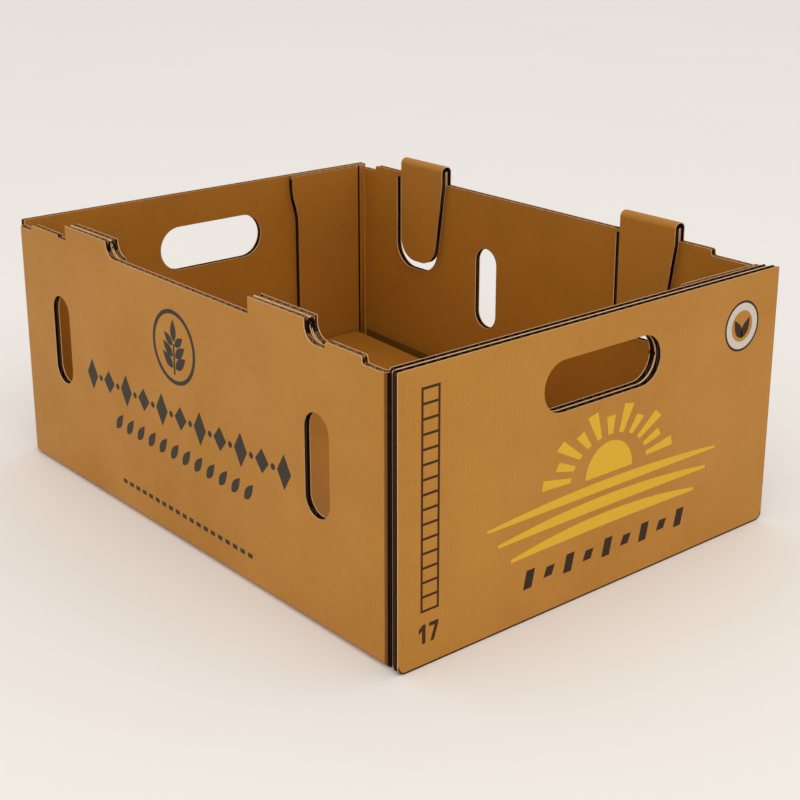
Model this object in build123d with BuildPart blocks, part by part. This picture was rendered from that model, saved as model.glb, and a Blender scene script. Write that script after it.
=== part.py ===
"""Waxed produce carton: a glued tray of corrugated board, open at the top.

One folded body makes the bottom, the two long sides, their corner flanges and four stacking tabs.
The front end is two sheets and the rear end is one. The inner sheet of each end folds in at the
bottom as a floor flap. The two flaps lie over each other on the body's bottom, and the upper one
springs up towards its free end.

Millimetres. X runs across the carton, Y along it from the front end to the rear end, and Z up.
The origin is in the middle of the base. The near side is at -X and the far side at +X.
"""

import os

from build123d import *

# Overall sizes
LENGTH = 400.0
WIDTH = 298.0
END_HEIGHT = 165.0
SIDE_HEIGHT = 164.5  # straight top edge of a long side, between its tabs

# Board, folds and cuts
BOARD = 4.5
FOLD_RADIUS = 1.0  # inside a fold
OVERRUN = 2.0  # how far a cut runs past the board

# Top edge of a long side
CORNER_DIP = 2.4
RIDGE_RISE = 1.7
RIDGE_RADIUS = 1.7
RIDGE_FOOT_SHARE = 0.47  # radius at the small step between the near rear tab and its ridge, of the rise
NEAR_FRONT_RIDGE_INSET = 28.0  # from the front end
NEAR_FRONT_RIDGE_LENGTH = 30.0
NEAR_REAR_RIDGE_INSET = 24.0  # from the rear end
NEAR_REAR_RIDGE_LENGTH = 35.0
FAR_FRONT_RIDGE_INSET = 48.0  # from the front end, and the ridge runs on to the tab
FAR_REAR_RIDGE_INSET = 23.0  # from the rear end, and the ridge runs on to the tab

# Stacking tabs, with their middles given from the nearer end
NEAR_TAB_WIDTH = 50.5
NEAR_TAB_RISE = 10.0
NEAR_FRONT_TAB_INSET = 101.0
NEAR_REAR_TAB_INSET = 96.0
TAB_COVE_SHARE = 0.9  # radius of the hollow at the foot of a near tab's front edge, of the rise
FAR_TAB_WIDTH = 46.0
FAR_TAB_RISE = 14.0
FAR_FRONT_TAB_INSET = 96.5
FAR_REAR_TAB_INSET = 82.5
FAR_CREST_SHARE = 0.93  # radius of a far tab's crest, of the board

# Tongues, which fold over a tab's crest and hang inside the wall
NEAR_TONGUE_DROP = 48.0
FAR_TONGUE_DROP = 77.0
TONGUE_TAPER = 9.0
TONGUE_RADIUS = 16.0
TONGUE_GAP = 0.4  # air left inside the fold

# Windows cut in the far side behind its tongues
WINDOW_INSET = 10.0  # from the tab's front edge
FRONT_WINDOW_REACH = 7.5  # past the tongue's rear edge
REAR_WINDOW_REACH = 11.0
WINDOW_BELOW_TIP = 8.0
WINDOW_BRIDGE = 2.0  # strip left between a window and the top edge
WINDOW_RADIUS = 18.0

# Upright vent slots in the long sides
SLOT_WIDTH = 22.0
SLOT_HEIGHT = 60.0
SLOT_TOP_MARGIN = 39.5  # board above a slot, to the straight top edge
NEAR_FRONT_SLOT_INSET = 66.5  # from the front end
NEAR_REAR_SLOT_INSET = 58.0  # from the rear end
FAR_SLOT_INSET = 149.0  # from the rear end

# Corner flanges: the far ones have a curved step in the free edge, the near ones a slanted top
FLANGE_WIDTH = 74.0
FLANGE_STEP = 5.0
FLANGE_STEP_DEPTH = 12.1  # from the flange's top down to the step
FLANGE_STEP_HEIGHT = 17.0
FLANGE_STEP_RADIUS = 45.0
FLANGE_SLANT = 26.0  # fall of a near flange's top, from the corner to the free edge
FLANGE_CLEARANCE = 1.5  # above the floor, clear of the upper flap's fold
SCORE_INSET = 6.0  # crushed line on a flange, from the long side's inner face
SCORE_WIDTH = 1.6
SCORE_DEPTH = 2.0

# Ends
FRONT_HOLE_LENGTH = 93.0
FRONT_HOLE_HEIGHT = 30.0
FRONT_HOLE_MARGIN = 18.7  # board above the front hand hole
FRONT_HOLE_OFFSET = -1.9  # from the middle of the carton
REAR_HOLE_LENGTH = 87.5
REAR_HOLE_HEIGHT = 32.0
REAR_HOLE_MARGIN = 24.0
REAR_HOLE_OFFSET = 3.8
END_FOOT_RADIUS = 5.0
END_TOP_RADIUS = 1.0
FRONT_LINER_INSET = 2.5  # front inner sheet's edges, from the long sides' outer faces
REAR_PANEL_INSET = 5.0  # rear sheet's near edge, from the near side's outer face

# Floor flaps
FLAP_SIDE_GAP = 10.0  # between a flap and the long side
FLAP_CLEARANCE = 2.0  # between a flap's free end and what it faces
FLAP_RELIEF = 1.5  # slit between a flap and the foot of its own sheet
FLAP_RADIUS = 4.0  # corners of a flap's free end
FLAP_SPRING = 17.0  # rise of the upper flap's free end

# Levels and planes that follow from these
FRONT = -LENGTH / 2
REAR = LENGTH / 2
SIDE = WIDTH / 2
OUTER_FOLD = FOLD_RADIUS + BOARD
FRONT_LINER_FACE = FRONT + BOARD
WALL_FRONT = FRONT_LINER_FACE + BOARD
WALL_REAR = REAR - BOARD
CORNER_TOP = SIDE_HEIGHT - CORNER_DIP
RIDGE_TOP = SIDE_HEIGHT + RIDGE_RISE
RIDGE_FOOT_RADIUS = RIDGE_FOOT_SHARE * RIDGE_RISE
TAB_COVE = TAB_COVE_SHARE * NEAR_TAB_RISE
FAR_CREST_RADIUS = FAR_CREST_SHARE * BOARD
SLOT_LEVEL = SIDE_HEIGHT - SLOT_TOP_MARGIN - SLOT_HEIGHT / 2
FLANGE_STEP_TOP = CORNER_TOP - FLANGE_STEP_DEPTH
FLANGE_STEP_BOTTOM = FLANGE_STEP_TOP - FLANGE_STEP_HEIGHT
NEAR_CREST = SIDE_HEIGHT + NEAR_TAB_RISE
FAR_CREST = SIDE_HEIGHT + FAR_TAB_RISE
NEAR_TONGUE_TIP = NEAR_CREST - NEAR_TONGUE_DROP
FAR_TONGUE_TIP = FAR_CREST - FAR_TONGUE_DROP
WINDOW_TOP = SIDE_HEIGHT - WINDOW_BRIDGE
WINDOW_BOTTOM = FAR_TONGUE_TIP - WINDOW_BELOW_TIP
REAR_FLAP_LEVEL = BOARD
FRONT_FLAP_LEVEL = REAR_FLAP_LEVEL + BOARD
FLOOR = FRONT_FLAP_LEVEL + BOARD
FLANGE_FOOT = FLOOR + FLANGE_CLEARANCE
FLAP_WIDTH = WIDTH - 2 * (BOARD + FLAP_SIDE_GAP)
NEAR_FRONT_TAB = FRONT + NEAR_FRONT_TAB_INSET
NEAR_REAR_TAB = REAR - NEAR_REAR_TAB_INSET
FAR_FRONT_TAB = FRONT + FAR_FRONT_TAB_INSET
FAR_REAR_TAB = REAR - FAR_REAR_TAB_INSET
NEAR_SLOTS = (FRONT + NEAR_FRONT_SLOT_INSET, REAR - NEAR_REAR_SLOT_INSET)
FAR_SLOTS = (REAR - FAR_SLOT_INSET,)
NEAR = -1
FAR = 1
TO_REAR = 1
TO_FRONT = -1


def layer_plane(side, depth, thickness):
    """The YZ plane at the low-X face of a layer that lies some depth inside a long side's outer face."""
    if side == FAR:
        return Plane.YZ.offset(SIDE - depth - thickness)
    return Plane.YZ.offset(depth - SIDE)


def add_flanged_side(side):
    """A long side with its two corner flanges, one sheet bent round both corners."""
    free_edge = side * (SIDE - FLANGE_WIDTH)
    with BuildSketch(Plane.XY.offset(FLANGE_FOOT)) as plan:
        with BuildLine():
            FilletPolyline(
                (free_edge, WALL_FRONT),
                (side * SIDE, WALL_FRONT),
                (side * SIDE, WALL_REAR),
                (free_edge, WALL_REAR),
                radius=OUTER_FOLD,
            )
            offset(amount=BOARD, side=Side.LEFT if side == FAR else Side.RIGHT)
        make_face()
    extrude(plan.sketch, amount=CORNER_TOP - FLANGE_FOOT)


def step_flanges(side):
    """Narrows the lower part of both flanges of a side, with a smooth step in the free edge."""
    wide = side * (SIDE - FLANGE_WIDTH)
    narrow = side * (SIDE - FLANGE_WIDTH + FLANGE_STEP)
    outside = wide - side * OVERRUN
    foot = FLANGE_FOOT - OVERRUN
    with BuildSketch(Plane.XZ.offset(-REAR)) as waste:
        with BuildLine():
            step = FilletPolyline(
                (wide, CORNER_TOP),
                (wide, FLANGE_STEP_TOP),
                (narrow, FLANGE_STEP_BOTTOM),
                (narrow, foot),
                radius=FLANGE_STEP_RADIUS,
            )
            Polyline(step @ 1, (outside, foot), (outside, CORNER_TOP), step @ 0)
        make_face()
    extrude(waste.sketch, amount=LENGTH, mode=Mode.SUBTRACT)


def raise_flanges(side):
    """Raises both flanges of a side, past their folds, to the level of the straight top edge."""
    bend = side * (SIDE - OUTER_FOLD)
    free_edge = side * (SIDE - FLANGE_WIDTH)
    for rear_face in (WALL_FRONT + BOARD, WALL_REAR):
        with BuildSketch(Plane.XZ.offset(-rear_face)) as strip:
            with Locations(((bend + free_edge) / 2, CORNER_TOP + CORNER_DIP / 2)):
                Rectangle(abs(bend - free_edge), CORNER_DIP)
        extrude(strip.sketch, amount=BOARD)


def slant_flanges(side):
    """Cuts the tops of both flanges of a side on a slant, down to the free edge."""
    bend = side * (SIDE - OUTER_FOLD)
    free_edge = side * (SIDE - FLANGE_WIDTH)
    outside = free_edge - side * OVERRUN
    low = CORNER_TOP - FLANGE_SLANT
    above = CORNER_TOP + OVERRUN
    corners = ((bend, CORNER_TOP), (free_edge, low), (outside, low), (outside, above), (bend, above))
    with BuildSketch(Plane.XZ.offset(-REAR)) as waste:
        with BuildLine():
            Polyline(*corners, close=True)
        make_face()
    extrude(waste.sketch, amount=LENGTH, mode=Mode.SUBTRACT)


def cut_scores():
    """Crushed score lines on the inner faces of the four flanges, beside their folds."""
    across = SIDE - BOARD - SCORE_INSET
    along = (WALL_FRONT + BOARD, WALL_REAR - BOARD)
    with BuildSketch(Plane.XY.offset(FLANGE_FOOT)) as scores:
        with Locations(*((x, y) for x in (-across, across) for y in along)):
            Rectangle(SCORE_WIDTH, 2 * SCORE_DEPTH)
    extrude(scores.sketch, amount=SIDE_HEIGHT - FLANGE_FOOT, mode=Mode.SUBTRACT)


def add_top_edge(side, corners):
    """The upper part of a long side. Its top edge goes through the corners, given as (y, z, radius)."""
    start = (WALL_FRONT + OUTER_FOLD, CORNER_TOP)
    end = (WALL_REAR - OUTER_FOLD, CORNER_TOP)
    points = [start, *((y, z) for y, z, radius in corners), end]
    with BuildSketch(layer_plane(side, 0, BOARD)) as wall:
        with BuildLine():
            top = FilletPolyline(*points, radius=[radius for y, z, radius in corners])
            Polyline(top @ 1, (end[0], FLANGE_FOOT), (start[0], FLANGE_FOOT), top @ 0)
        make_face()
    extrude(wall.sketch, amount=BOARD)


def near_corners():
    """Front to rear: ridge, tab with a cove, straight edge, tab with a cove, low step, ridge."""
    half_tab = NEAR_TAB_WIDTH / 2
    front_ridge = FRONT + NEAR_FRONT_RIDGE_INSET
    front_ridge_end = front_ridge + NEAR_FRONT_RIDGE_LENGTH
    rear_ridge_end = REAR - NEAR_REAR_RIDGE_INSET
    rear_ridge = rear_ridge_end - NEAR_REAR_RIDGE_LENGTH
    return (
        (front_ridge, CORNER_TOP, RIDGE_RADIUS),
        (front_ridge, RIDGE_TOP, RIDGE_RADIUS),
        (front_ridge_end, RIDGE_TOP, RIDGE_RADIUS),
        (front_ridge_end, CORNER_TOP, RIDGE_RADIUS),
        (NEAR_FRONT_TAB - half_tab, CORNER_TOP, TAB_COVE),
        (NEAR_FRONT_TAB - half_tab, NEAR_CREST, 0),
        (NEAR_FRONT_TAB + half_tab, NEAR_CREST, 0),
        (NEAR_FRONT_TAB + half_tab, SIDE_HEIGHT, 0),
        (NEAR_REAR_TAB - half_tab, SIDE_HEIGHT, TAB_COVE),
        (NEAR_REAR_TAB - half_tab, NEAR_CREST, 0),
        (NEAR_REAR_TAB + half_tab, NEAR_CREST, 0),
        (NEAR_REAR_TAB + half_tab, SIDE_HEIGHT, 0),
        (rear_ridge, SIDE_HEIGHT, RIDGE_FOOT_RADIUS),
        (rear_ridge, RIDGE_TOP, RIDGE_FOOT_RADIUS),
        (rear_ridge_end, RIDGE_TOP, RIDGE_RADIUS),
        (rear_ridge_end, CORNER_TOP, RIDGE_RADIUS),
    )


def far_corners():
    """Front to rear: ridge that runs into a tab, straight edge, tab that runs into a ridge."""
    half_tab = FAR_TAB_WIDTH / 2
    front_ridge = FRONT + FAR_FRONT_RIDGE_INSET
    rear_ridge_end = REAR - FAR_REAR_RIDGE_INSET
    return (
        (front_ridge, CORNER_TOP, RIDGE_RADIUS),
        (front_ridge, RIDGE_TOP, RIDGE_RADIUS),
        (FAR_FRONT_TAB - half_tab, RIDGE_TOP, 0),
        (FAR_FRONT_TAB - half_tab, FAR_CREST, 0),
        (FAR_FRONT_TAB + half_tab, FAR_CREST, 0),
        (FAR_FRONT_TAB + half_tab, SIDE_HEIGHT, 0),
        (FAR_REAR_TAB - half_tab, SIDE_HEIGHT, 0),
        (FAR_REAR_TAB - half_tab, FAR_CREST, 0),
        (FAR_REAR_TAB + half_tab, FAR_CREST, 0),
        (FAR_REAR_TAB + half_tab, RIDGE_TOP, 0),
        (rear_ridge_end, RIDGE_TOP, RIDGE_RADIUS),
        (rear_ridge_end, CORNER_TOP, RIDGE_RADIUS),
    )


def cut_slots(side, middles):
    """Upright vent slots with round ends, through a long side."""
    depth = BOARD + 2 * OVERRUN
    with BuildSketch(layer_plane(side, -OVERRUN, depth)) as slots:
        with Locations(*((y, SLOT_LEVEL) for y in middles)):
            SlotOverall(SLOT_HEIGHT, SLOT_WIDTH, rotation=90)
    extrude(slots.sketch, amount=depth, mode=Mode.SUBTRACT)


def cut_window(tab_middle, reach):
    """A window behind one far tongue, round at the bottom, under a strip that still carries the tab."""
    depth = BOARD + 2 * OVERRUN
    front = tab_middle - FAR_TAB_WIDTH / 2 + WINDOW_INSET
    rear = tab_middle + FAR_TAB_WIDTH / 2 + reach
    with BuildSketch(layer_plane(FAR, -OVERRUN, depth)) as window:
        with Locations(((front + rear) / 2, (WINDOW_TOP + WINDOW_BOTTOM) / 2)):
            Rectangle(rear - front, WINDOW_TOP - WINDOW_BOTTOM)
        fillet(window.vertices().group_by(Axis.Y)[0], radius=WINDOW_RADIUS)
    extrude(window.sketch, amount=depth, mode=Mode.SUBTRACT)


def add_tongue(side, middle, width, crest, outline, radii):
    """A tongue from its outline, from front to rear, and the roof that joins it to its tab."""
    with BuildSketch(layer_plane(side, BOARD + TONGUE_GAP, BOARD)) as tongue:
        with BuildLine():
            edge = FilletPolyline(*outline, radius=radii)
            Line(edge @ 1, edge @ 0)
        make_face()
    extrude(tongue.sketch, amount=BOARD)
    with BuildSketch(layer_plane(side, BOARD, TONGUE_GAP)) as roof:
        with Locations((middle, crest - BOARD / 2)):
            Rectangle(width, BOARD)
    extrude(roof.sketch, amount=TONGUE_GAP)


def add_near_tongue(middle, foot):
    """A short tongue with the same cove as its tab, cut at the foot level of that cove."""
    front = middle - NEAR_TAB_WIDTH / 2
    rear = middle + NEAR_TAB_WIDTH / 2
    outline = (
        (front, NEAR_CREST),
        (front, foot),
        (front - TAB_COVE, foot),
        (front, NEAR_TONGUE_TIP),
        (rear - TONGUE_TAPER, NEAR_TONGUE_TIP),
        (rear, SIDE_HEIGHT),
        (rear, NEAR_CREST),
    )
    add_tongue(NEAR, middle, NEAR_TAB_WIDTH, NEAR_CREST, outline, [TAB_COVE, 0, TONGUE_RADIUS, TONGUE_RADIUS, 0])


def add_far_tongue(middle):
    """A long tongue with a slanted front edge and a round tip."""
    front = middle - FAR_TAB_WIDTH / 2
    rear = middle + FAR_TAB_WIDTH / 2
    outline = (
        (front, FAR_CREST),
        (front, SIDE_HEIGHT),
        (front + TONGUE_TAPER, FAR_TONGUE_TIP),
        (rear, FAR_TONGUE_TIP),
        (rear, FAR_CREST),
    )
    add_tongue(FAR, middle, FAR_TAB_WIDTH, FAR_CREST, outline, [0, TONGUE_RADIUS, TONGUE_RADIUS])


def draw_end(outline, bottom, left, right):
    """An end sheet's outline, from a bottom level to the top and between its two side edges."""
    with Locations(((left + right) / 2, (END_HEIGHT + bottom) / 2)):
        Rectangle(right - left, END_HEIGHT - bottom)
    fillet(outline.vertices().group_by(Axis.Y)[-1], radius=END_TOP_RADIUS)


def cut_front_hole():
    """The hand hole of both front sheets, in a sketch."""
    with Locations((FRONT_HOLE_OFFSET, END_HEIGHT - FRONT_HOLE_MARGIN - FRONT_HOLE_HEIGHT / 2)):
        SlotOverall(FRONT_HOLE_LENGTH, FRONT_HOLE_HEIGHT, mode=Mode.SUBTRACT)


def cut_rear_hole():
    """The hand hole of the rear sheet, in a sketch."""
    with Locations((REAR_HOLE_OFFSET, END_HEIGHT - REAR_HOLE_MARGIN - REAR_HOLE_HEIGHT / 2)):
        SlotOverall(REAR_HOLE_LENGTH, REAR_HOLE_HEIGHT, mode=Mode.SUBTRACT)


def add_end_with_flap(edges, cut_hole, outer_face, inwards, flap_level, flap_end, spring):
    """An end sheet that bends in at the bottom and runs to the other end as a floor flap."""
    slope = spring / abs(flap_end - outer_face)
    fold_top = flap_level + OUTER_FOLD * (slope + (1 + slope**2) ** 0.5)
    inner_face = outer_face + inwards * BOARD
    with BuildSketch(Plane.XZ.offset(-max(outer_face, inner_face))) as sheet:
        draw_end(sheet, BOARD, *edges)
        cut_hole()
        with Locations((0, (BOARD + fold_top) / 2)):
            Rectangle(FLAP_WIDTH + 2 * FLAP_RELIEF, fold_top - BOARD, mode=Mode.SUBTRACT)
    extrude(sheet.sketch, amount=BOARD)
    with BuildSketch(Plane.YZ) as section:
        with BuildLine():
            FilletPolyline(
                (outer_face, fold_top + OVERRUN),
                (outer_face, flap_level),
                (flap_end, flap_level + spring),
                radius=OUTER_FOLD,
            )
            offset(amount=BOARD, side=Side.LEFT if inwards == TO_REAR else Side.RIGHT)
        make_face()
    extrude(section.sketch, amount=FLAP_WIDTH / 2, both=True)


def round_flap(free_end):
    """Rounds the two corners at a flap's free end."""
    fillet(free_end.edges().filter_by(Axis.X, reverse=True), radius=FLAP_RADIUS)


with BuildPart() as body:
    with BuildSketch(Plane.XZ.offset(-WALL_REAR)):
        with BuildLine():
            FilletPolyline(
                (-SIDE, FLANGE_FOOT), (-SIDE, 0), (SIDE, 0), (SIDE, FLANGE_FOOT), radius=OUTER_FOLD
            )
            offset(amount=BOARD, side=Side.LEFT)
        make_face()
    extrude(amount=WALL_REAR - WALL_FRONT)
    with BuildSketch(Plane.XY):
        with Locations((0, (WALL_FRONT + WALL_REAR) / 2)):
            RectangleRounded(WIDTH, WALL_REAR - WALL_FRONT, OUTER_FOLD)
    extrude(amount=FLANGE_FOOT, mode=Mode.INTERSECT)
    with BuildSketch(Plane.XY):
        with Locations((0, (FRONT_LINER_FACE + REAR) / 2)):
            Rectangle(WIDTH - 2 * OUTER_FOLD, REAR - FRONT_LINER_FACE)
    extrude(amount=BOARD)
    add_flanged_side(NEAR)
    slant_flanges(NEAR)
    add_top_edge(NEAR, near_corners())
    cut_slots(NEAR, NEAR_SLOTS)
    add_flanged_side(FAR)
    step_flanges(FAR)
    raise_flanges(FAR)
    cut_scores()
    add_top_edge(FAR, far_corners())
    cut_slots(FAR, FAR_SLOTS)
    cut_window(FAR_FRONT_TAB, FRONT_WINDOW_REACH)
    cut_window(FAR_REAR_TAB, REAR_WINDOW_REACH)
    add_near_tongue(NEAR_FRONT_TAB, CORNER_TOP)
    add_near_tongue(NEAR_REAR_TAB, SIDE_HEIGHT)
    add_far_tongue(FAR_FRONT_TAB)
    add_far_tongue(FAR_REAR_TAB)
    far_crest_edges = body.edges().filter_by(Axis.Y).filter_by_position(Axis.X, 0, SIDE).group_by(Axis.Z)[-1]
    fillet(far_crest_edges, radius=FAR_CREST_RADIUS)

with BuildPart() as front_panel:
    with BuildSketch(Plane.XZ.offset(-FRONT_LINER_FACE)) as front_outline:
        draw_end(front_outline, 0, -SIDE, SIDE)
        fillet(front_outline.vertices().group_by(Axis.Y)[0], radius=END_FOOT_RADIUS)
        cut_front_hole()
    extrude(amount=BOARD)

with BuildPart() as front_liner:
    liner_edges = (FRONT_LINER_INSET - SIDE, SIDE - FRONT_LINER_INSET)
    front_flap_end = WALL_REAR - BOARD - FLAP_CLEARANCE
    add_end_with_flap(
        liner_edges, cut_front_hole, FRONT_LINER_FACE, TO_REAR, FRONT_FLAP_LEVEL, front_flap_end, FLAP_SPRING
    )
    round_flap(front_liner.faces().sort_by(Axis.Y)[-1])

with BuildPart() as rear_panel:
    rear_edges = (REAR_PANEL_INSET - SIDE, SIDE)
    rear_flap_end = FRONT_LINER_FACE + FLAP_CLEARANCE
    add_end_with_flap(rear_edges, cut_rear_hole, REAR, TO_FRONT, REAR_FLAP_LEVEL, rear_flap_end, 0)
    round_flap(rear_panel.faces().sort_by(Axis.Y)[0])

os.makedirs("parts", exist_ok=True)
body.part.label = "body"
export_step(body.part, "parts/body.step")
front_panel.part.label = "front_panel"
export_step(front_panel.part, "parts/front_panel.step")
front_liner.part.label = "front_liner"
export_step(front_liner.part, "parts/front_liner.step")
rear_panel.part.label = "rear_panel"
export_step(rear_panel.part, "parts/rear_panel.step")
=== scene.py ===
"""Looks of a waxed produce carton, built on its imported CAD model. Metres, in the CAD frame.

Each CAD sheet is copied, and the board shows at its cut edges: two pale liner edges with a groove
between them, and a fluted medium standing in the groove. The print is thin ink shapes on the board.
"""

import math

import bmesh
import bpy
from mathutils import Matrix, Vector


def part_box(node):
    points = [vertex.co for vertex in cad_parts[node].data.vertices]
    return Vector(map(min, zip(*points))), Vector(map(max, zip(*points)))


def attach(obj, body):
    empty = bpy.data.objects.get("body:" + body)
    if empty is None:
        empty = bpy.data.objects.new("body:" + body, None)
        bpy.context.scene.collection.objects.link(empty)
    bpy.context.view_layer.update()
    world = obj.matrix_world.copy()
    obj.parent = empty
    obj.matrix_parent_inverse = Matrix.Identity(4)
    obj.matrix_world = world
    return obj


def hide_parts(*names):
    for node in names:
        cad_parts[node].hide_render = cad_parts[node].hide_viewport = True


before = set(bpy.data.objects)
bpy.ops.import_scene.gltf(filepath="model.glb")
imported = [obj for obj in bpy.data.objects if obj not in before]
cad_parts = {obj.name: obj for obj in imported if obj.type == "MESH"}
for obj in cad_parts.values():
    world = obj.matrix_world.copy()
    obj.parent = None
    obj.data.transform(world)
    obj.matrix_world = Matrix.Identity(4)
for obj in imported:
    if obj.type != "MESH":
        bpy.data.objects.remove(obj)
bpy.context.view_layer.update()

# Sizes read from the CAD model
panel_low, panel_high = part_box("front_panel")
body_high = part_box("body")[1]
liner_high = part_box("front_liner")[1]
rear_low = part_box("rear_panel")[0]
BOARD = panel_high.y - panel_low.y
FRONT = panel_low.y
REAR = body_high.y
SIDE = body_high.x
CREST = body_high.z
END_TOP = panel_high.z
WALL_FRONT = FRONT + 2 * BOARD
WALL_REAR = REAR - BOARD

# Sizes that the CAD model's boxes don't give
FOLD_RADIUS = 0.001
TONGUE_GAP = 0.0004
FLANGE_LIFT = 0.0015
FLAP_CLEARANCE = 0.010
FLAP_SPRING = 0.017
FLAP_ZONE = 0.04
SCORE_INSET = 0.006
SCORE_WIDTH = 0.0016
NEAR_CREST_DROP = 0.004
FOLD = BOARD + FOLD_RADIUS
FLANGE_FOOT = 3 * BOARD + FLANGE_LIFT
FLAP_HALF = SIDE - BOARD - FLAP_CLEARANCE
NEAR_CREST = CREST - NEAR_CREST_DROP
TONGUE_FACE = SIDE - 2 * BOARD - TONGUE_GAP

# The upper face of the sprung flap
flap_run = liner_high.y - FRONT - BOARD
flap_normal = Vector((0, -FLAP_SPRING, flap_run)).normalized()
flap_point = Vector((0, FRONT + BOARD, 2 * BOARD)) + BOARD * flap_normal

# How closely places and directions have to agree
TOUCH = 2e-5
MERGE = 1e-6
FLAT = 0.999
SLANT = 0.02

# The board's make-up
LINER = 0.0006
GROOVE = 0.0022
WALL_SLOPE = 0.00003
LONGEST_STEP = 2  # how many times its size an inset may move a corner
FLUTE_PITCH = 0.0072
FLUTE_SWING = 0.00125
MEDIUM = 0.0003
MEDIUM_TOP = 0.0004
SAMPLE = 0.0007
SHEET_SHARP = 30  # degrees
FLUTE_SHARP = 60  # degrees

# Where painted shade starts and is full in a corner fold, and where an edge counts as a top edge
CREASE_START = 0.5
CREASE_TURN = 0.72
TOP_TURN = 0.5
TOP_ZONE_SHARE = 0.8
TOP_ZONE = TOP_ZONE_SHARE * END_TOP

# Places of the materials in sheet_materials
OUTSIDE, SHADED_INSIDE, OUTSIDE_END, SHADED_INSIDE_END, SHADED_TONGUE, HALF_SHADE, EDGE, SHADED_EDGE, SHADE, LIT_TOP_GROOVE = range(10)

# Grain of the materials: noise settings, and the range of noise that is spread from 0 to 1
BLOTCH = {"scale": 16, "detail": 5, "roughness": 0.62, "low": 0.34, "high": 0.66}
FIBRE = {"scale": 900, "detail": 3, "roughness": 0.7, "low": 0.35, "high": 0.65, "stretch": (1, 1, 0.22)}
SPECK = {"scale": 2600, "detail": 2, "roughness": 0.5, "low": 0.55, "high": 0.72}
PAPER_GRAIN = {"detail": 3, "roughness": 0.7, "low": 0.35, "high": 0.65}
INK_GRAIN = {"scale": 1500, "detail": 3, "roughness": 0.7}
BLOTCH_SHARE = 0.5
FIBRE_SHARE = 0.3
SPECK_SHARE = 0.3
WAVE_SHARE = 0.09
FIBRE_HEIGHT_SHARE = 0.5
WAVE_REPEAT = math.pi / 10  # how far apart the wave texture's bands are at a scale of 1
WAVE_SCALE = WAVE_REPEAT / (FLUTE_PITCH / 2)
WAVE_DISTORTION = 0.35
WAVE_DETAIL_SCALE = 3
BUMP_STRENGTH = 0.25
BUMP_HEIGHT = 0.0001
KRAFT_ROUGHNESS = 0.5
KRAFT_ROUGHNESS_LOW = 0.44
KRAFT_ROUGHNESS_HIGH = 0.58
KRAFT_SPECULAR = 0.2
PAPER_SPECULAR = 0.2
INK_ROUGHNESS = 0.5
INK_SPECULAR = 0.12


def near(a, b):
    return abs(a - b) < TOUCH


def math_node(tree, operation, first, second):
    node = tree.nodes.new("ShaderNodeMath")
    node.operation = operation
    for socket, value in zip(node.inputs, (first, second)):
        if isinstance(value, (int, float)):
            socket.default_value = value
        else:
            tree.links.new(value, socket)
    return node.outputs[0]


def spread(tree, value, low, high, to_low, to_high):
    node = tree.nodes.new("ShaderNodeMapRange")
    tree.links.new(value, node.inputs["Value"])
    for name, number in (("From Min", low), ("From Max", high), ("To Min", to_low), ("To Max", to_high)):
        node.inputs[name].default_value = number
    return node.outputs["Result"]


def mixed(tree, factor, first, second):
    node = tree.nodes.new("ShaderNodeMix")
    node.data_type = "RGBA"
    tree.links.new(factor, node.inputs["Factor"])
    for name, value in (("A", first), ("B", second)):
        socket = next(s for s in node.inputs if s.name == name and s.type == "RGBA")
        if isinstance(value, tuple):
            socket.default_value = (*value, 1.0)
        else:
            tree.links.new(value, socket)
    return next(s for s in node.outputs if s.type == "RGBA")


def grain(tree, coords, scale, detail, roughness, low, high, stretch=(1, 1, 1)):
    """Noise whose values from low to high are spread from 0 to 1."""
    mapping = tree.nodes.new("ShaderNodeMapping")
    mapping.inputs["Scale"].default_value = stretch
    tree.links.new(coords, mapping.inputs["Vector"])
    node = tree.nodes.new("ShaderNodeTexNoise")
    node.inputs["Scale"].default_value = scale
    node.inputs["Detail"].default_value = detail
    node.inputs["Roughness"].default_value = roughness
    tree.links.new(mapping.outputs["Vector"], node.inputs["Vector"])
    return spread(tree, node.outputs["Fac"], low, high, 0, 1)


def flute_wave(tree, coords, direction):
    """Bands at half the pitch of the flutes."""
    node = tree.nodes.new("ShaderNodeTexWave")
    node.wave_type = "BANDS"
    node.bands_direction = direction
    node.inputs["Scale"].default_value = WAVE_SCALE
    node.inputs["Distortion"].default_value = WAVE_DISTORTION
    node.inputs["Detail Scale"].default_value = WAVE_DETAIL_SCALE
    tree.links.new(coords, node.inputs["Vector"])
    return node.outputs["Fac"]


def start_material(name, roughness, specular):
    material = bpy.data.materials.new(name)
    material.use_nodes = True
    tree = material.node_tree
    shader = tree.nodes["Principled BSDF"]
    shader.inputs["Roughness"].default_value = roughness
    shader.inputs["Specular IOR Level"].default_value = specular
    coords = tree.nodes.new("ShaderNodeTexCoord").outputs["Object"]
    return material, tree, shader, coords


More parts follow.
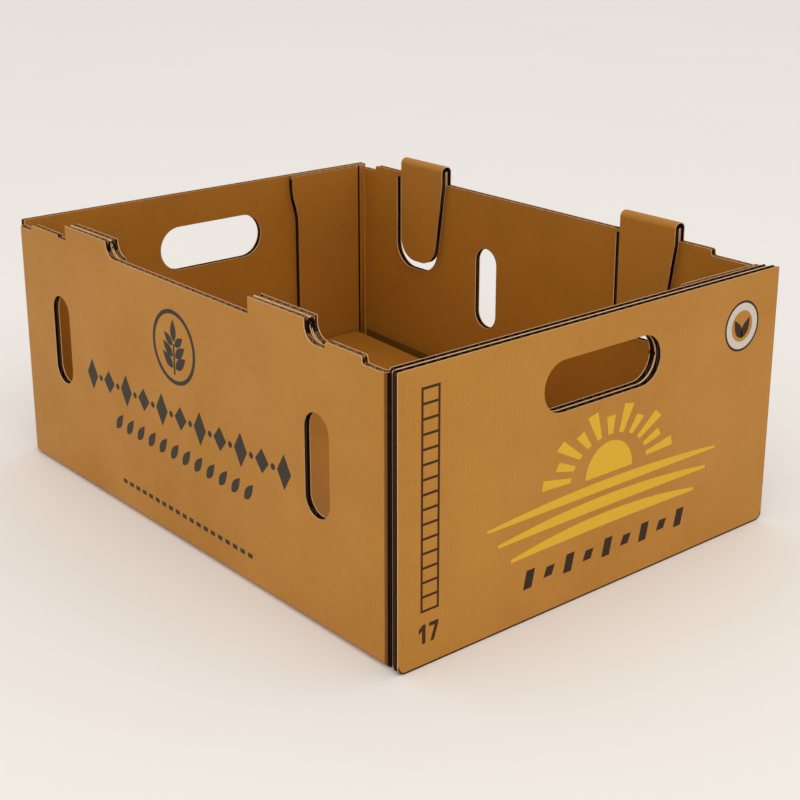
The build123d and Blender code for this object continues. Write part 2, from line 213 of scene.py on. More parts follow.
def kraft(name, colour, dark, pale, flute_direction):
    """Waxed kraft liner: soft blotches, short fibres, and faint lines where the flutes press through."""
    material, tree, shader, coords = start_material(name, KRAFT_ROUGHNESS, KRAFT_SPECULAR)
    blotch = grain(tree, coords, **BLOTCH)
    fibre = grain(tree, coords, **FIBRE)
    speck = grain(tree, coords, **SPECK)
    wave = flute_wave(tree, coords, flute_direction)
    tone = colour
    for value, share, other in (
        (blotch, BLOTCH_SHARE, dark),
        (fibre, FIBRE_SHARE, pale),
        (speck, SPECK_SHARE, dark),
        (wave, WAVE_SHARE, dark),
    ):
        tone = mixed(tree, math_node(tree, "MULTIPLY", value, share), tone, other)
    tree.links.new(tone, shader.inputs["Base Color"])
    shine = spread(tree, blotch, 0, 1, KRAFT_ROUGHNESS_LOW, KRAFT_ROUGHNESS_HIGH)
    tree.links.new(shine, shader.inputs["Roughness"])
    bump = tree.nodes.new("ShaderNodeBump")
    bump.inputs["Strength"].default_value = BUMP_STRENGTH
    bump.inputs["Distance"].default_value = BUMP_HEIGHT
    height = math_node(tree, "ADD", wave, math_node(tree, "MULTIPLY", fibre, FIBRE_HEIGHT_SHARE))
    tree.links.new(height, bump.inputs["Height"])
    tree.links.new(bump.outputs["Normal"], shader.inputs["Normal"])
    return material


def paper(name, colour, other, roughness, scale, specular=PAPER_SPECULAR):
    """A bare paper surface, such as a cut liner edge or the flutes."""
    material, tree, shader, coords = start_material(name, roughness, specular)
    specks = grain(tree, coords, scale, **PAPER_GRAIN)
    tree.links.new(mixed(tree, specks, colour, other), shader.inputs["Base Color"])
    return material


def ink(name, colour, thin, wear_low, wear_high):
    """Print that the kraft's grain shows through in specks."""
    material, tree, shader, coords = start_material(name, INK_ROUGHNESS, INK_SPECULAR)
    specks = grain(tree, coords, low=wear_low, high=wear_high, **INK_GRAIN)
    tree.links.new(mixed(tree, specks, colour, thin), shader.inputs["Base Color"])
    return material


# Plain, dark and pale tones of the liners
OUT_TONES = ((0.485, 0.216, 0.03), (0.37, 0.155, 0.018), (0.57, 0.28, 0.06))
# The inside tones are a darker copy of the outside ones: painted shade inside the carton
INSIDE_SHADE_TONES = ((0.43, 0.174, 0.017), (0.33, 0.125, 0.01), (0.5, 0.222, 0.036))
# The tongue tones lie between the outside and inside ones: a lighter painted shade
TONGUE_SHADE_TONES = ((0.455, 0.19, 0.022), (0.35, 0.137, 0.013), (0.53, 0.24, 0.044))
# Half-dark painted shade for the corner folds and for the wall in the gap by the flap
HALF_SHADE_TONES = ((0.2, 0.083, 0.011), (0.15, 0.058, 0.007), (0.25, 0.115, 0.024))

# Plain and dark tones of bare paper
# Cut liner edges: pale bare paper, made paler still as a painted highlight
PALE_EDGE_AND_HIGHLIGHT_TONES = ((0.74, 0.48, 0.26), (0.58, 0.34, 0.16))
# A darker copy of the liner edge: painted shade deep in the corner
SHADED_EDGE_TONES = ((0.25, 0.12, 0.05), (0.19, 0.085, 0.033))
SHADE_TONES = ((0.011, 0.003, 0.0012), (0.026, 0.009, 0.004))
# Lit and shaded copies of the groove and of the flute paper: the lighter ones on up-facing top edges, the
# dark ones painted shade everywhere else
LIT_GROOVE_TONES = ((0.34, 0.17, 0.07), (0.16, 0.07, 0.025))
SHADED_MEDIUM_TONES = ((0.11, 0.055, 0.024), (0.05, 0.023, 0.01))
LIT_MEDIUM_TONES = ((0.5, 0.28, 0.13), (0.26, 0.125, 0.05))
FLOOR_TONES = ((0.92, 0.905, 0.885), (0.91, 0.895, 0.875))

sheet_materials = [
    kraft("kraft_outside", *OUT_TONES, "Y"),
    kraft("kraft_inside_painted_shade", *INSIDE_SHADE_TONES, "Y"),
    kraft("kraft_outside_end", *OUT_TONES, "X"),
    kraft("kraft_inside_end_painted_shade", *INSIDE_SHADE_TONES, "X"),
    kraft("kraft_tongue_painted_shade", *TONGUE_SHADE_TONES, "Y"),
    kraft("kraft_half_shade", *HALF_SHADE_TONES, "Y"),
    paper("liner_edge", *PALE_EDGE_AND_HIGHLIGHT_TONES, roughness=0.7, scale=700),
    paper("liner_edge_shaded", *SHADED_EDGE_TONES, roughness=0.7, scale=700),
    paper("flute_shade", *SHADE_TONES, roughness=0.85, scale=500, specular=0.08),
    paper("flute_lit", *LIT_GROOVE_TONES, roughness=0.85, scale=500, specular=0.08),
]
medium_materials = [
    paper("flute_medium_shaded", *SHADED_MEDIUM_TONES, roughness=0.8, scale=900),
    paper("flute_medium_lit", *LIT_MEDIUM_TONES, roughness=0.8, scale=900),
]
gold_ink = ink("ink_gold", (0.79, 0.47, 0.03), (0.6, 0.31, 0.035), wear_low=0.4, wear_high=0.75)
dark_ink = ink("ink_dark", (0.03, 0.016, 0.01), (0.085, 0.042, 0.018), wear_low=0.45, wear_high=0.8)
grey_ink = ink("ink_grey", (0.036, 0.033, 0.026), (0.095, 0.068, 0.036), wear_low=0.45, wear_high=0.8)
brown_ink = ink("ink_brown", (0.05, 0.017, 0.005), (0.11, 0.045, 0.012), wear_low=0.45, wear_high=0.8)
pale_ink = ink("ink_pale", (0.66, 0.62, 0.56), (0.45, 0.36, 0.26), wear_low=0.42, wear_high=0.78)


# The tests and tones of the sheets' faces take a face's centre c and its normal n
def in_score(c, n):
    """Whether a face lies in the crushed line beside the fold of a flange."""
    from_line = abs(abs(c.x) - (SIDE - BOARD - SCORE_INSET))
    depth = min(c.y - WALL_FRONT, WALL_REAR - c.y)
    return abs(n.z) < SLANT and from_line < SCORE_WIDTH / 2 + TOUCH and TOUCH < depth < BOARD - TOUCH


def body_on_liner(c, n):
    """Whether a face of the body is a liner, or a cut that the end sheets cover."""
    across = abs(c.x) > TONGUE_FACE - TOUCH
    if in_score(c, n):
        return True
    if abs(n.x) > FLAT:
        return across
    if abs(n.z) > FLAT:
        over_gap = c.z > END_TOP and abs(abs(c.x) - (SIDE - BOARD - TONGUE_GAP / 2)) < TONGUE_GAP / 2
        far_roof = c.z > CREST - TOUCH
        return c.z < BOARD + TOUCH or near(c.z, FLANGE_FOOT) or over_gap or far_roof
    if abs(n.y) > FLAT:
        layers = (WALL_FRONT, WALL_FRONT + BOARD, WALL_REAR - BOARD, WALL_REAR)
        return c.z < BOARD + TOUCH or any(near(c.y, y) for y in layers)
    if abs(n.z) < SLANT:
        return c.y < WALL_FRONT + FOLD + TOUCH or c.y > WALL_REAR - FOLD - TOUCH
    return abs(n.y) < SLANT and across


def panel_on_liner(c, n):
    """A test like body_on_liner, for the outer front sheet."""
    return abs(n.y) > FLAT


def end_on_liner(flap_end):
    """A test like body_on_liner, for an end sheet that folds in as a floor flap."""

    def on_liner(c, n):
        if abs(n.y) > FLAT:
            return abs(c.y - flap_end) > BOARD / 2
        if abs(n.z) > FLAT:
            return abs(c.x) < FLAP_HALF and c.z < FLAP_ZONE
        return abs(n.x) < SLANT and abs(n.y) > SLANT

    return on_liner


def body_tone(c, n):
    """The material of a liner face of the body. Corner folds, scores and the wall in the gap by the flap get
    painted shade, and the inside takes darker copies of the kraft as painted shade.
    """
    # Painted shade in the score lines
    if in_score(c, n):
        return SHADE
    if abs(n.y) > FLAT:
        return SHADED_INSIDE_END
    outer_side = abs(c.x) > SIDE - FOLD and n.x * c.x > 0
    # Painted shade on the turn of each corner fold, first half dark, then full
    if outer_side and abs(n.z) < SLANT and n.y * c.y > 0 and abs(n.y) > CREASE_START:
        return SHADE if abs(n.y) > CREASE_TURN else HALF_SHADE
    if outer_side or c.z < TOUCH:
        return OUTSIDE
    # Painted shade on the wall below the sprung flap
    if abs(n.x) > FLAT and (c - flap_point).dot(flap_normal) < 0:
        return HALF_SHADE
    # The tongues and the rest of the inside take darker copies of the kraft: painted shade
    on_tongue = abs(c.x) < SIDE - BOARD - TONGUE_GAP / 2 or c.z > END_TOP
    return SHADED_TONGUE if on_tongue and c.z > FLANGE_FOOT else SHADED_INSIDE


# The inner faces of the end sheets take the darker inside copy of the kraft: painted shade
def front_tone(c, n):
    return OUTSIDE_END if c.y < FRONT + TOUCH else SHADED_INSIDE_END


def rear_tone(c, n):
    return OUTSIDE_END if c.y > REAR - TOUCH else SHADED_INSIDE_END


def liner_tone(c, n):
    return SHADED_INSIDE_END


def body_edge(c, n):
    """The material of the body's cut liners. Where a flange lies against an end sheet, they are in shade."""
    against_end = min(c.y - WALL_FRONT, WALL_REAR - c.y) < LINER
    return SHADE if against_end and abs(n.x) > CREASE_TURN else EDGE


def plain_edge(c, n):
    return EDGE


def panel_edge(c, n):
    """The upright edge of the outer front sheet's back liner lies deep in the corner, so it gets painted
    shade.
    """
    return SHADED_EDGE if abs(n.x) > FLAT and c.y > FRONT + BOARD / 2 else EDGE


def liner_edge(c, n):
    """The upright edges of the inner front sheet stand back between two others, so they are in shade."""
    return SHADE if abs(n.x) > FLAT else EDGE


def lit_top_groove(c, n):
    """The material between cut liners: a lit copy where a top edge faces up, and painted shade everywhere
    else.
    """
    return LIT_TOP_GROOVE if n.z > TOP_TURN and c.z > TOP_ZONE else SHADE


# Painted shade in every groove
def shaded_groove(c, n):
    return SHADE


def chains(edges):
    """Joins edges, given as pairs of points, into lines of points."""
    links = {}
    for a, b in edges:
        links.setdefault(a, []).append(b)
        links.setdefault(b, []).append(a)
    left = {frozenset(edge) for edge in edges}
    starts = [p for p, others in links.items() if len(others) == 1] + list(links)
    lines = []
    for start in starts:
        line = [start]
        while True:
            step = next((p for p in links[line[-1]] if frozenset((line[-1], p)) in left), None)
            if step is None:
                break
            left.discard(frozenset((line[-1], step)))
            line.append(step)
        if len(line) > 1:
            lines.append(line)
    return lines


def join_rows(bm, first, second):
    """Faces between two rows of vertices, each a closed loop. Gives the faces."""
    count = len(first)
    return [
        bm.faces.new((first[i], first[(i + 1) % count], second[(i + 1) % count], second[i]))
        for i in range(count)
    ]


def add_ribbon(bm, line, inwards, through, along, groove_tone):
    """The fluted medium in one cut edge's groove. through points from the traced liner into the board."""
    points, ways = [], []
    for (a, b), way in zip(zip(line, line[1:]), inwards):
        a, b = Vector(a), Vector(b)
        count = max(1, math.ceil((b - a).length / SAMPLE))
        for i in range(count):
            points.append(a.lerp(b, i / count))
            ways.append(way)
    points.append(Vector(line[-1]))
    ways.append(inwards[-1])
    half = MEDIUM / 2
    section = ((MEDIUM_TOP, -half), (MEDIUM_TOP, half), (GROOVE, half), (GROOVE, -half))
    rows = []
    for point, way in zip(points, ways):
        swing = FLUTE_SWING * math.sin(2 * math.pi * point[along] / FLUTE_PITCH)
        middle = point + through * (BOARD / 2 + swing)
        rows.append([bm.verts.new(middle + way * depth + through * aside) for depth, aside in section])
    for first, second, point, way in zip(rows, rows[1:], points, ways):
        for face in join_rows(bm, first, second):
            # The flutes take the lit copy on up-facing top edges and painted shade elsewhere
            face.material_index = int(groove_tone(point, -way) == LIT_TOP_GROOVE)
    bm.faces.new(rows[0])
    bm.faces.new(list(reversed(rows[-1])))


def add_flutes(bm, ribbons, faces_cut, point, normal, along, groove_tone):
    """Ribbons of medium for all the cut edges of the liner in the plane through point that faces normal."""
    found = {}
    for edge in bm.edges:
        if any(abs((v.co - point).dot(normal)) > TOUCH for v in edge.verts) or len(edge.link_faces) != 2:
            continue
        cut = [f for f in edge.link_faces if f in faces_cut]
        plain = [f for f in edge.link_faces if f not in faces_cut]
        if len(cut) != 1 or abs(plain[0].normal.dot(normal)) < FLAT:
            continue
        a, b = (v.co.copy().freeze() for v in edge.verts)
        middle = (a + b) / 2
        way = (b - a).cross(plain[0].normal).normalized()
        if way.dot(plain[0].calc_center_median() - middle) < 0:
            way.negate()
        found[frozenset((a, b))] = way
    for line in chains([tuple(pair) for pair in found]):
        inwards = [found[frozenset(pair)] for pair in zip(line, line[1:])]
        add_ribbon(ribbons, line, inwards, -normal, along, groove_tone)


def split_faces(bm, faces, point, normal):
    """Cuts the faces where the plane through point that faces normal crosses them."""
    edges = dict.fromkeys(e for f in faces for e in f.edges)
    verts = dict.fromkeys(v for f in faces for v in f.verts)
    bmesh.ops.bisect_plane(bm, geom=[*faces, *edges, *verts], plane_co=point, plane_no=normal)


def split_near_roof(bm):
    """Parts the near tabs' tops into wall, gap and tongue, so that both boards show their cut edges."""
    for x in (BOARD - SIDE, BOARD + TONGUE_GAP - SIDE):
        top = [f for f in bm.faces if f.normal.z > FLAT and near(f.calc_center_median().z, NEAR_CREST)]
        split_faces(bm, top, (x, 0, 0), (1, 0, 0))


def split_low_walls(bm):
    """Parts the inside of the long sides along the sprung flap, so that the wall in the gap by the flap can
    take painted shade.
    """
    inner = []
    for face in bm.faces:
        if abs(face.normal.x) > FLAT and near(abs(face.calc_center_median().x), SIDE - BOARD):
            inner.append(face)
    split_faces(bm, inner, flap_point, flap_normal)


def sink_cut(bm, cut, thickness, depth, longest):
    """Insets the cut faces by thickness and sinks them by depth, and gives the faces round them.

    Narrow faces can throw a corner far out, so no corner goes further than longest.
    """
    places = {vert: vert.co.copy() for face in cut for vert in face.verts}
    around = bmesh.ops.inset_region(
        bm, faces=cut, thickness=thickness, depth=-depth, use_boundary=True, use_even_offset=True
    )["faces"]
    inner = {vert for face in cut for vert in face.verts}
    starts = {vert: places[vert] for face in cut for vert in face.verts if vert in places}
    for edge in [edge for face in around for edge in face.edges]:
        for tip, foot in (edge.verts, reversed(edge.verts)):
            if tip in inner and foot not in inner:
                starts[tip] = foot.co.copy()
    for vert, start in starts.items():
        step = vert.co - start
        if step.length > longest:
            vert.co = start + step * (longest / step.length)
    return around


def finish_mesh(name, bm, materials, sharp_degrees):
    """Makes a piece of the carton from a bmesh."""
    bmesh.ops.recalc_face_normals(bm, faces=bm.faces)
    mesh = bpy.data.meshes.new(name)
    bm.to_mesh(mesh)
    bm.free()
    mesh.polygons.foreach_set("use_smooth", [True] * len(mesh.polygons))
    mesh.set_sharp_from_angle(angle=math.radians(sharp_degrees))
    piece = bpy.data.objects.new(name, mesh)
    bpy.context.scene.collection.objects.link(piece)
    for material in materials:
        mesh.materials.append(material)
    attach(piece, "root")
    return piece


def dress_sheet(node, on_liner, tone, edge_tone, groove_tone, planes):
    """Replaces a CAD sheet by a copy with board edges, and adds the flutes that show in them."""
    bm = bmesh.new()
    bm.from_mesh(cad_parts[node].data)
    bmesh.ops.remove_doubles(bm, verts=bm.verts, dist=MERGE)
    bm.normal_update()
    if node == "body":
        split_near_roof(bm)
        split_low_walls(bm)
    cut = []
    for face in bm.faces:
        centre = face.calc_center_median()
        if on_liner(centre, face.normal):
            face.material_index = tone(centre, face.normal)
        else:
            cut.append(face)
            face.material_index = groove_tone(centre, face.normal)
    ribbons = bmesh.new()
    floors = set(cut)
    for point, normal, along in planes:
        add_flutes(bm, ribbons, floors, Vector(point), Vector(normal), along, groove_tone)
    for face in sink_cut(bm, cut, LINER, 0, LONGEST_STEP * LINER):
        face.normal_update()
        face.material_index = edge_tone(face.calc_center_median(), face.normal)
    for face in sink_cut(bm, cut, WALL_SLOPE, GROOVE, LONGEST_STEP * GROOVE):
        beside = [floor for edge in face.edges for floor in edge.link_faces if floor in floors]
        face.material_index = beside[0].material_index if beside else SHADE
    piece = finish_mesh(node + "_sheet", bm, sheet_materials, SHEET_SHARP)
    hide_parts(node)
    finish_mesh(node + "_flutes", ribbons, medium_materials, FLUTE_SHARP)


# Each plane of a liner has a point, the way it faces, and the axis along which its flutes wave
ALONG_X, ALONG_Y = range(2)
dress_sheet(
    "body",
    body_on_liner,
    body_tone,
    body_edge,
    lit_top_groove,
    (
        ((-SIDE, 0, 0), (-1, 0, 0), ALONG_Y),
        ((SIDE, 0, 0), (1, 0, 0), ALONG_Y),
        ((-TONGUE_FACE, 0, 0), (1, 0, 0), ALONG_Y),
        ((TONGUE_FACE, 0, 0), (-1, 0, 0), ALONG_Y),
        ((0, WALL_FRONT + BOARD, 0), (0, 1, 0), ALONG_X),
        ((0, WALL_REAR - BOARD, 0), (0, -1, 0), ALONG_X),
    ),
)
dress_sheet(
    "front_panel",
    panel_on_liner,
    front_tone,
    panel_edge,
    shaded_groove,
    (((0, FRONT, 0), (0, -1, 0), ALONG_X),),
)
dress_sheet(
    "front_liner",
    end_on_liner(liner_high.y),
    liner_tone,
    liner_edge,
    shaded_groove,
    (((0, WALL_FRONT, 0), (0, 1, 0), ALONG_X), (flap_point, flap_normal, ALONG_X)),
)
dress_sheet(
    "rear_panel",
    end_on_liner(rear_low.y),
    rear_tone,
    plain_edge,
    lit_top_groove,
    (((0, REAR, 0), (0, 1, 0), ALONG_X), ((0, 0, 2 * BOARD), (0, 0, 1), ALONG_X)),
)

# Print: ink shapes a little proud of the board, drawn in millimetres on a carton of the drawn height
INK_RISE = 0.00005
INK_SINK = 0.00003
DRAWN_HEIGHT = 165.0
UNIT = END_TOP / DRAWN_HEIGHT
FULL_TURN = 360  # degrees
HALF_TURN = 180  # degrees
QUARTER_TURN = 90  # degrees
RING_TURNS = 64
DISC_TURNS = 48
DOT_TURNS = 20
CORNER_TURNS = 12
LEAF_STEPS = 14
LEAF_POWER = 0.8
FURROW_STEPS = 24
FURROW_TAPER_SHARE = 0.75


def on_front(u, v, w):
    """A point on the front end: u from its middle towards +X, v up, w out of the board."""
    return Vector((u * UNIT, FRONT - w, v * UNIT))


def on_near(u, v, w):
    """A point on the near long side: u from its middle towards the front, v up, w out of the board."""
    return Vector((-SIDE - w, -u * UNIT, v * UNIT))


def add_stamp(bm, place, outline):
    """One closed ink shape from its outline."""
    top = [bm.verts.new(place(u, v, INK_RISE)) for u, v in outline]
    under = [bm.verts.new(place(u, v, -INK_SINK)) for u, v in outline]
    bm.faces.new(top)
    bm.faces.new(list(reversed(under)))
    join_rows(bm, under, top)


def add_ring(bm, place, middle, outer, inner):
    """A closed ink ring."""
    section = ((outer, INK_RISE), (inner, INK_RISE), (inner, -INK_SINK), (outer, -INK_SINK))
    rows = []
    for i in range(RING_TURNS):
        angle = 2 * math.pi * i / RING_TURNS
        row = []
        for radius, w in section:
            u = middle[0] + radius * math.cos(angle)
            v = middle[1] + radius * math.sin(angle)
            row.append(bm.verts.new(place(u, v, w)))
        rows.append(row)
    for first, second in zip(rows, rows[1:] + rows[:1]):
        join_rows(bm, first, second)


def bar(left, bottom, right, top):
    return [(left, bottom), (right, bottom), (right, top), (left, top)]


def arc(middle, radius, start, sweep, turns):
    """The points of an arc, both ends included. Angles are in degrees."""
    angles = [math.radians(start + sweep * i / turns) for i in range(turns + 1)]
    return [(middle[0] + radius * math.cos(a), middle[1] + radius * math.sin(a)) for a in angles]


def dot(middle, radius):
    return arc(middle, radius, 0, FULL_TURN, DOT_TURNS)[:-1]


def leaf(foot, length, width, degrees):
    """A pointed leaf that grows from its foot."""
    upper = []
    for i in range(LEAF_STEPS + 1):
        share = i / LEAF_STEPS
        upper.append((length * share, width / 2 * math.sin(math.pi * share**LEAF_POWER)))
    lower = [(p, -q) for p, q in reversed(upper[1:-1])]
    cos, sin = math.cos(math.radians(degrees)), math.sin(math.radians(degrees))
    return [(foot[0] + p * cos - q * sin, foot[1] + p * sin + q * cos) for p, q in upper + lower]


def lozenge(middle, width, height):
    u, v = middle
    return [(u - width / 2, v), (u, v - height / 2), (u + width / 2, v), (u, v + height / 2)]


def slanted(middle, width, height, lean):
    """An upright block that leans to one side."""
    u, v = middle
    w, h = width / 2, height / 2
    return [(u - w - lean, v - h), (u + w - lean, v - h), (u + w + lean, v + h), (u - w + lean, v + h)]


def furrow(left, right, level, thick, bow):
    """A long band that sinks and thins towards its ends."""
    over, under = [], []
    for i in range(FURROW_STEPS + 1):
        s = 2 * i / FURROW_STEPS - 1
        u = left + (right - left) * i / FURROW_STEPS
        drop = bow * s * s
        half = thick / 2 * (1 - FURROW_TAPER_SHARE * s * s)
        over.append((u, level - drop + half))
        under.append((u, level - drop - half))
    return over + list(reversed(under))


# A sun over furrows, on the front
SUN = (5.0, 71.0)
SUN_RADIUS = 19.0
SUN_STRETCH = 1.35
RAYS = 11
FIRST_RAY = 9.0  # degrees
RAY_STEP = 16.2  # degrees
RAY_GAP = 4.0
RAY_START = SUN_RADIUS + RAY_GAP
LONG_RAY = 39.5
SHORT_RAY = 34.0
RAY_FOOT_HALF = math.radians(3.4)
RAY_TIP_HALF = math.radians(4.4)
FURROWS = (
    {"left": -88, "right": 98, "level": 64.5, "thick": 6.0, "bow": 2.2},
    {"left": -80, "right": 90, "level": 54.5, "thick": 7.0, "bow": 3.0},
    {"left": -70, "right": 80, "level": 43.5, "thick": 7.6, "bow": 3.6},
)
sun = bmesh.new()
add_stamp(sun, on_front, arc(SUN, SUN_RADIUS, 0, HALF_TURN, DISC_TURNS))
for step in range(RAYS):
    turn = math.radians(FIRST_RAY + RAY_STEP * step)
    tip = LONG_RAY if step % 2 == 0 else SHORT_RAY
    corners = (
        (RAY_START, -RAY_FOOT_HALF),
        (tip, -RAY_TIP_HALF),
        (tip, RAY_TIP_HALF),
        (RAY_START, RAY_FOOT_HALF),
    )
    ray = []
    for radius, aside in corners:
        across = SUN_STRETCH * radius * math.cos(turn + aside)
        ray.append((SUN[0] + across, SUN[1] + radius * math.sin(turn + aside)))
    add_stamp(sun, on_front, ray)
for sizes in FURROWS:
    add_stamp(sun, on_front, furrow(**sizes))
finish_mesh("print_sun_and_furrows", sun, [gold_ink], SHEET_SHARP)

# Slanted dashes under them
DASHES = 9
DASH_START = -56.0
DASH_STEP = 15.5
DASH_LEVEL = 25.0
DASH_WIDTH = 6.4
LONG_DASH = 11.0
SHORT_DASH = 6.0
DASH_LEAN = 1.2
dashes = bmesh.new()
for step in range(DASHES):
    height = LONG_DASH if step % 2 == 0 else SHORT_DASH
    middle = (DASH_START + DASH_STEP * step, DASH_LEVEL)
    add_stamp(dashes, on_front, slanted(middle, DASH_WIDTH, height, DASH_LEAN))
finish_mesh("print_dashes", dashes, [dark_ink], SHEET_SHARP)

# The row of cells up the front's left edge, and the number below it
LADDER_LEFT = -134.0
LADDER_RIGHT = -121.5
LADDER_FOOT = 31.0
LADDER_TOP = 154.0
LADDER_CELLS = 15
LADDER_LINE = 1.4
NUMBER_LEFT = -135.5
NUMBER_FOOT = 13.0
DIGIT_WIDTH = 6.4
DIGIT_HEIGHT = 11.0
DIGIT_STEP = 7.4
ONE_SHARES = ((0.4, 0), (0.78, 0), (0.78, 1), (0.5, 1), (0.06, 0.8), (0.06, 0.56), (0.4, 0.7))
SEVEN_SHARES = ((0.14, 0), (0.52, 0), (1, 0.83), (1, 1), (0, 1), (0, 0.8), (0.6, 0.8))
ladder = bmesh.new()
for left in (LADDER_LEFT, LADDER_RIGHT - LADDER_LINE):
    add_stamp(ladder, on_front, bar(left, LADDER_FOOT, left + LADDER_LINE, LADDER_TOP))
for rung in range(LADDER_CELLS + 1):
    level = LADDER_FOOT + (LADDER_TOP - LADDER_FOOT - LADDER_LINE) * rung / LADDER_CELLS
    ends = (LADDER_LEFT + LADDER_LINE, LADDER_RIGHT - LADDER_LINE)
    add_stamp(ladder, on_front, bar(ends[0], level, ends[1], level + LADDER_LINE))
for place, shares in enumerate((ONE_SHARES, SEVEN_SHARES)):
    left = NUMBER_LEFT + DIGIT_STEP * place
    digit = [(left + DIGIT_WIDTH * u, NUMBER_FOOT + DIGIT_HEIGHT * v) for u, v in shares]
    add_stamp(ladder, on_front, digit)
finish_mesh("print_ladder_and_number", ladder, [brown_ink], SHEET_SHARP)

# Painted shade along the foot of the front sheet, where it meets the floor: a thin line that follows its
# rounded lower corners
FOOT_RADIUS = 5.0
FOOT_LINE = 0.9
FOOT_MARGIN = 0.1
foot_reach = SIDE / UNIT - FOOT_RADIUS
foot_outer = FOOT_RADIUS - FOOT_MARGIN
foot_inner = foot_outer - FOOT_LINE
left_corner, right_corner = (-foot_reach, FOOT_RADIUS), (foot_reach, FOOT_RADIUS)
left_start, right_start = HALF_TURN, HALF_TURN + QUARTER_TURN
foot_path = arc(left_corner, foot_outer, left_start, QUARTER_TURN, CORNER_TURNS)
foot_path += arc(right_corner, foot_outer, right_start, QUARTER_TURN, CORNER_TURNS)
foot_path += reversed(arc(right_corner, foot_inner, right_start, QUARTER_TURN, CORNER_TURNS))
foot_path += reversed(arc(left_corner, foot_inner, left_start, QUARTER_TURN, CORNER_TURNS))
foot_shade = bmesh.new()
add_stamp(foot_shade, on_front, foot_path)
finish_mesh("foot_painted_shade", foot_shade, [brown_ink], SHEET_SHARP)

# A round badge with a pair of leaves, at the front's upper right
BADGE = (116.5, 134.0)
BADGE_HOLE = 9.6
BADGE_FIELD = 14.2
BADGE_RIM = 15.6
BADGE_LEAF_DROP = 7.5
BADGE_LEAF_LENGTH = 14.0
BADGE_LEAF_WIDTH = 6.0
BADGE_LEAF_TURNS = (60, 120)
badge = bmesh.new()
add_ring(badge, on_front, BADGE, BADGE_FIELD, BADGE_HOLE)
finish_mesh("print_badge_field", badge, [pale_ink], SHEET_SHARP)
rim = bmesh.new()
add_ring(rim, on_front, BADGE, BADGE_RIM, BADGE_FIELD)
for turn in BADGE_LEAF_TURNS:
    leaf_foot = (BADGE[0], BADGE[1] - BADGE_LEAF_DROP)
    add_stamp(rim, on_front, leaf(leaf_foot, BADGE_LEAF_LENGTH, BADGE_LEAF_WIDTH, turn))
finish_mesh("print_badge_rim", rim, [dark_ink], SHEET_SHARP)

# A sprig in a ring, on the near side
SPRIG = (-4.0, 125.5)
RING_OUTER = 23.0
RING_INNER = 20.4
STEM_HALF = 0.8
STEM_FOOT = -17.0
STEM_TOP = 2.0
LEAF_TURNS = {1: 38, -1: 142}  # degrees, on the right and on the left of the stem
LEAF_OFFSET = 1.3
LEAF_PAIRS = (
    {"height": -13.0, "length": 14.0, "width": 6.4},
    {"height": -6.0, "length": 13.0, "width": 6.0},
    {"height": 1.0, "length": 11.0, "width": 5.2},
)
TIP_LEAF_HEIGHT = 3.4
TIP_LEAF_LENGTH = 14.0
TIP_LEAF_WIDTH = 6.0
sprig = bmesh.new()
add_ring(sprig, on_near, SPRIG, RING_OUTER, RING_INNER)
stem = bar(SPRIG[0] - STEM_HALF, SPRIG[1] + STEM_FOOT, SPRIG[0] + STEM_HALF, SPRIG[1] + STEM_TOP)
add_stamp(sprig, on_near, stem)
for pair in LEAF_PAIRS:
    for side, turn in LEAF_TURNS.items():
        leaf_foot = (SPRIG[0] + side * LEAF_OFFSET, SPRIG[1] + pair["height"])
        add_stamp(sprig, on_near, leaf(leaf_foot, pair["length"], pair["width"], turn))
tip_foot = (SPRIG[0], SPRIG[1] + TIP_LEAF_HEIGHT)
add_stamp(sprig, on_near, leaf(tip_foot, TIP_LEAF_LENGTH, TIP_LEAF_WIDTH, QUARTER_TURN))

# Rows of lozenges with dots between them, of leaves and of dashes, below the sprig
LOZENGES = 11
LOZENGE_START = -104.0
LOZENGE_STEP = 20.8
LOZENGE_LEVEL = 82.0
LOZENGE_WIDTH = 13.0
TALL_LOZENGE = 21.0
LOW_LOZENGE = 15.0
DOT_RADIUS = 2.0
ROW_LEAVES = 12
ROW_LEAF_START = -77.0
ROW_LEAF_STEP = 12.9
ROW_LEAF_LEVEL = 53.0
ROW_LEAF_LENGTH = 14.5
ROW_LEAF_WIDTH = 6.0
ROW_LEAF_TURN = 52
ROW_DASHES = 19
ROW_DASH_START = -72.0
ROW_DASH_STEP = 7.7
ROW_DASH_LENGTH = 4.6
ROW_DASH_FOOT = 17.6
ROW_DASH_TOP = 20.4
for step in range(LOZENGES):
    middle = (LOZENGE_START + LOZENGE_STEP * step, LOZENGE_LEVEL)
    height = TALL_LOZENGE if step % 2 == 0 else LOW_LOZENGE
    add_stamp(sprig, on_near, lozenge(middle, LOZENGE_WIDTH, height))
    if step < LOZENGES - 1:
        add_stamp(sprig, on_near, dot((middle[0] + LOZENGE_STEP / 2, LOZENGE_LEVEL), DOT_RADIUS))
for step in range(ROW_LEAVES):
    leaf_foot = (ROW_LEAF_START + ROW_LEAF_STEP * step, ROW_LEAF_LEVEL)
    add_stamp(sprig, on_near, leaf(leaf_foot, ROW_LEAF_LENGTH, ROW_LEAF_WIDTH, ROW_LEAF_TURN))
for step in range(ROW_DASHES):
    left = ROW_DASH_START + ROW_DASH_STEP * step
    add_stamp(sprig, on_near, bar(left, ROW_DASH_FOOT, left + ROW_DASH_LENGTH, ROW_DASH_TOP))
finish_mesh("print_sprig_and_bands", sprig, [grey_ink], SHEET_SHARP)

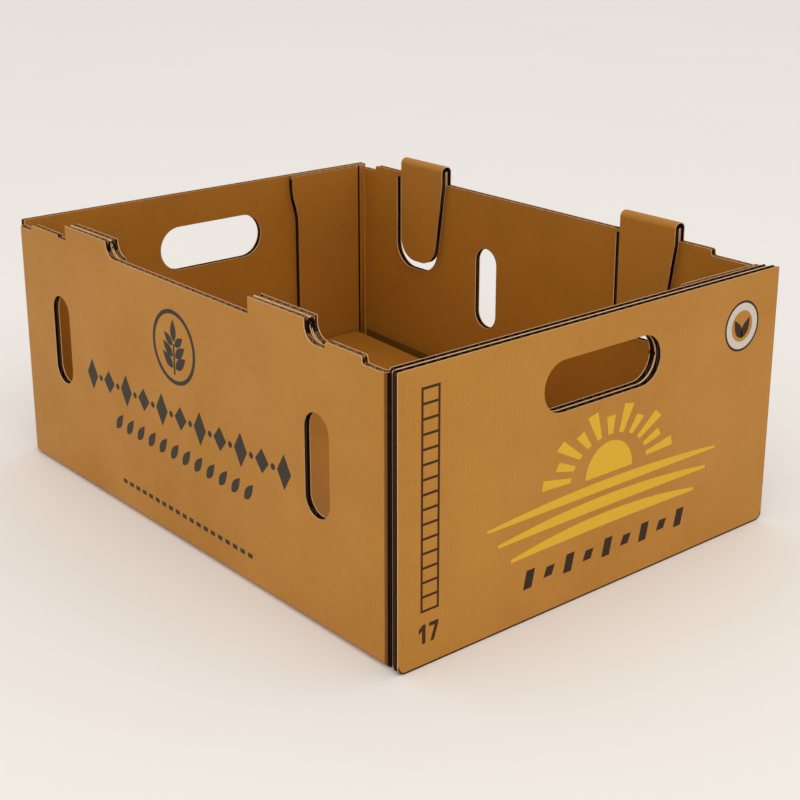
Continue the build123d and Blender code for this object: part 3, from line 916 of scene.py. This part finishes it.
# Floor
FLOOR_DROP = 0.0003
FLOOR_REACH = 12.0
floor_corners = []
for x, y in ((-1, -1), (1, -1), (1, 1), (-1, 1)):
    floor_corners.append((x * FLOOR_REACH, y * FLOOR_REACH, -FLOOR_DROP))
floor_mesh = bpy.data.meshes.new("floor")
floor_mesh.from_pydata(floor_corners, [], [(0, 1, 2, 3)])
floor_mesh.materials.append(paper("floor_pale", *FLOOR_TONES, roughness=0.9, scale=2))
floor = bpy.data.objects.new("floor", floor_mesh)
scene = bpy.context.scene
scene.collection.objects.link(floor)

# Light
SKY_COLOUR = (1.0, 0.97, 0.94, 1.0)
SKY_STRENGTH = 0.84
KEY_PLACE = Vector((-0.9, -1.5, 2.1))
KEY_TARGET = Vector((0, 0, 0.08))
KEY_SIZE = 1.8
KEY_POWER = 15
KEY_COLOUR = (1.0, 0.96, 0.9)
scene.view_settings.view_transform = "Standard"
world = bpy.data.worlds.new("studio")
world.use_nodes = True
background = world.node_tree.nodes["Background"]
background.inputs["Color"].default_value = SKY_COLOUR
background.inputs["Strength"].default_value = SKY_STRENGTH
scene.world = world
lamp = bpy.data.lights.new("key", "AREA")
lamp.size = KEY_SIZE
lamp.energy = KEY_POWER
lamp.color = KEY_COLOUR
key = bpy.data.objects.new("key", lamp)
key.location = KEY_PLACE
key.rotation_euler = (KEY_TARGET - KEY_PLACE).to_track_quat("-Z", "Y").to_euler()
scene.collection.objects.link(key)

# Camera at the photo's angle
SENSOR_WIDTH = 36  # millimetres
LENS = 68.99  # millimetres
LENS_SHIFT = -0.1
CAMERA_PLACE = (-0.5938, -0.7311, 0.4111)
CAMERA_DOWN = 17.568  # degrees below level
CAMERA_TURN = -40.031  # degrees from +Y
camera_data = bpy.data.cameras.new("camera")
camera_data.sensor_width = SENSOR_WIDTH
camera_data.lens = LENS
camera_data.shift_y = LENS_SHIFT
camera = bpy.data.objects.new("camera", camera_data)
camera.location = CAMERA_PLACE
camera.rotation_euler = (math.radians(QUARTER_TURN - CAMERA_DOWN), 0, math.radians(CAMERA_TURN))
scene.collection.objects.link(camera)
scene.camera = camera
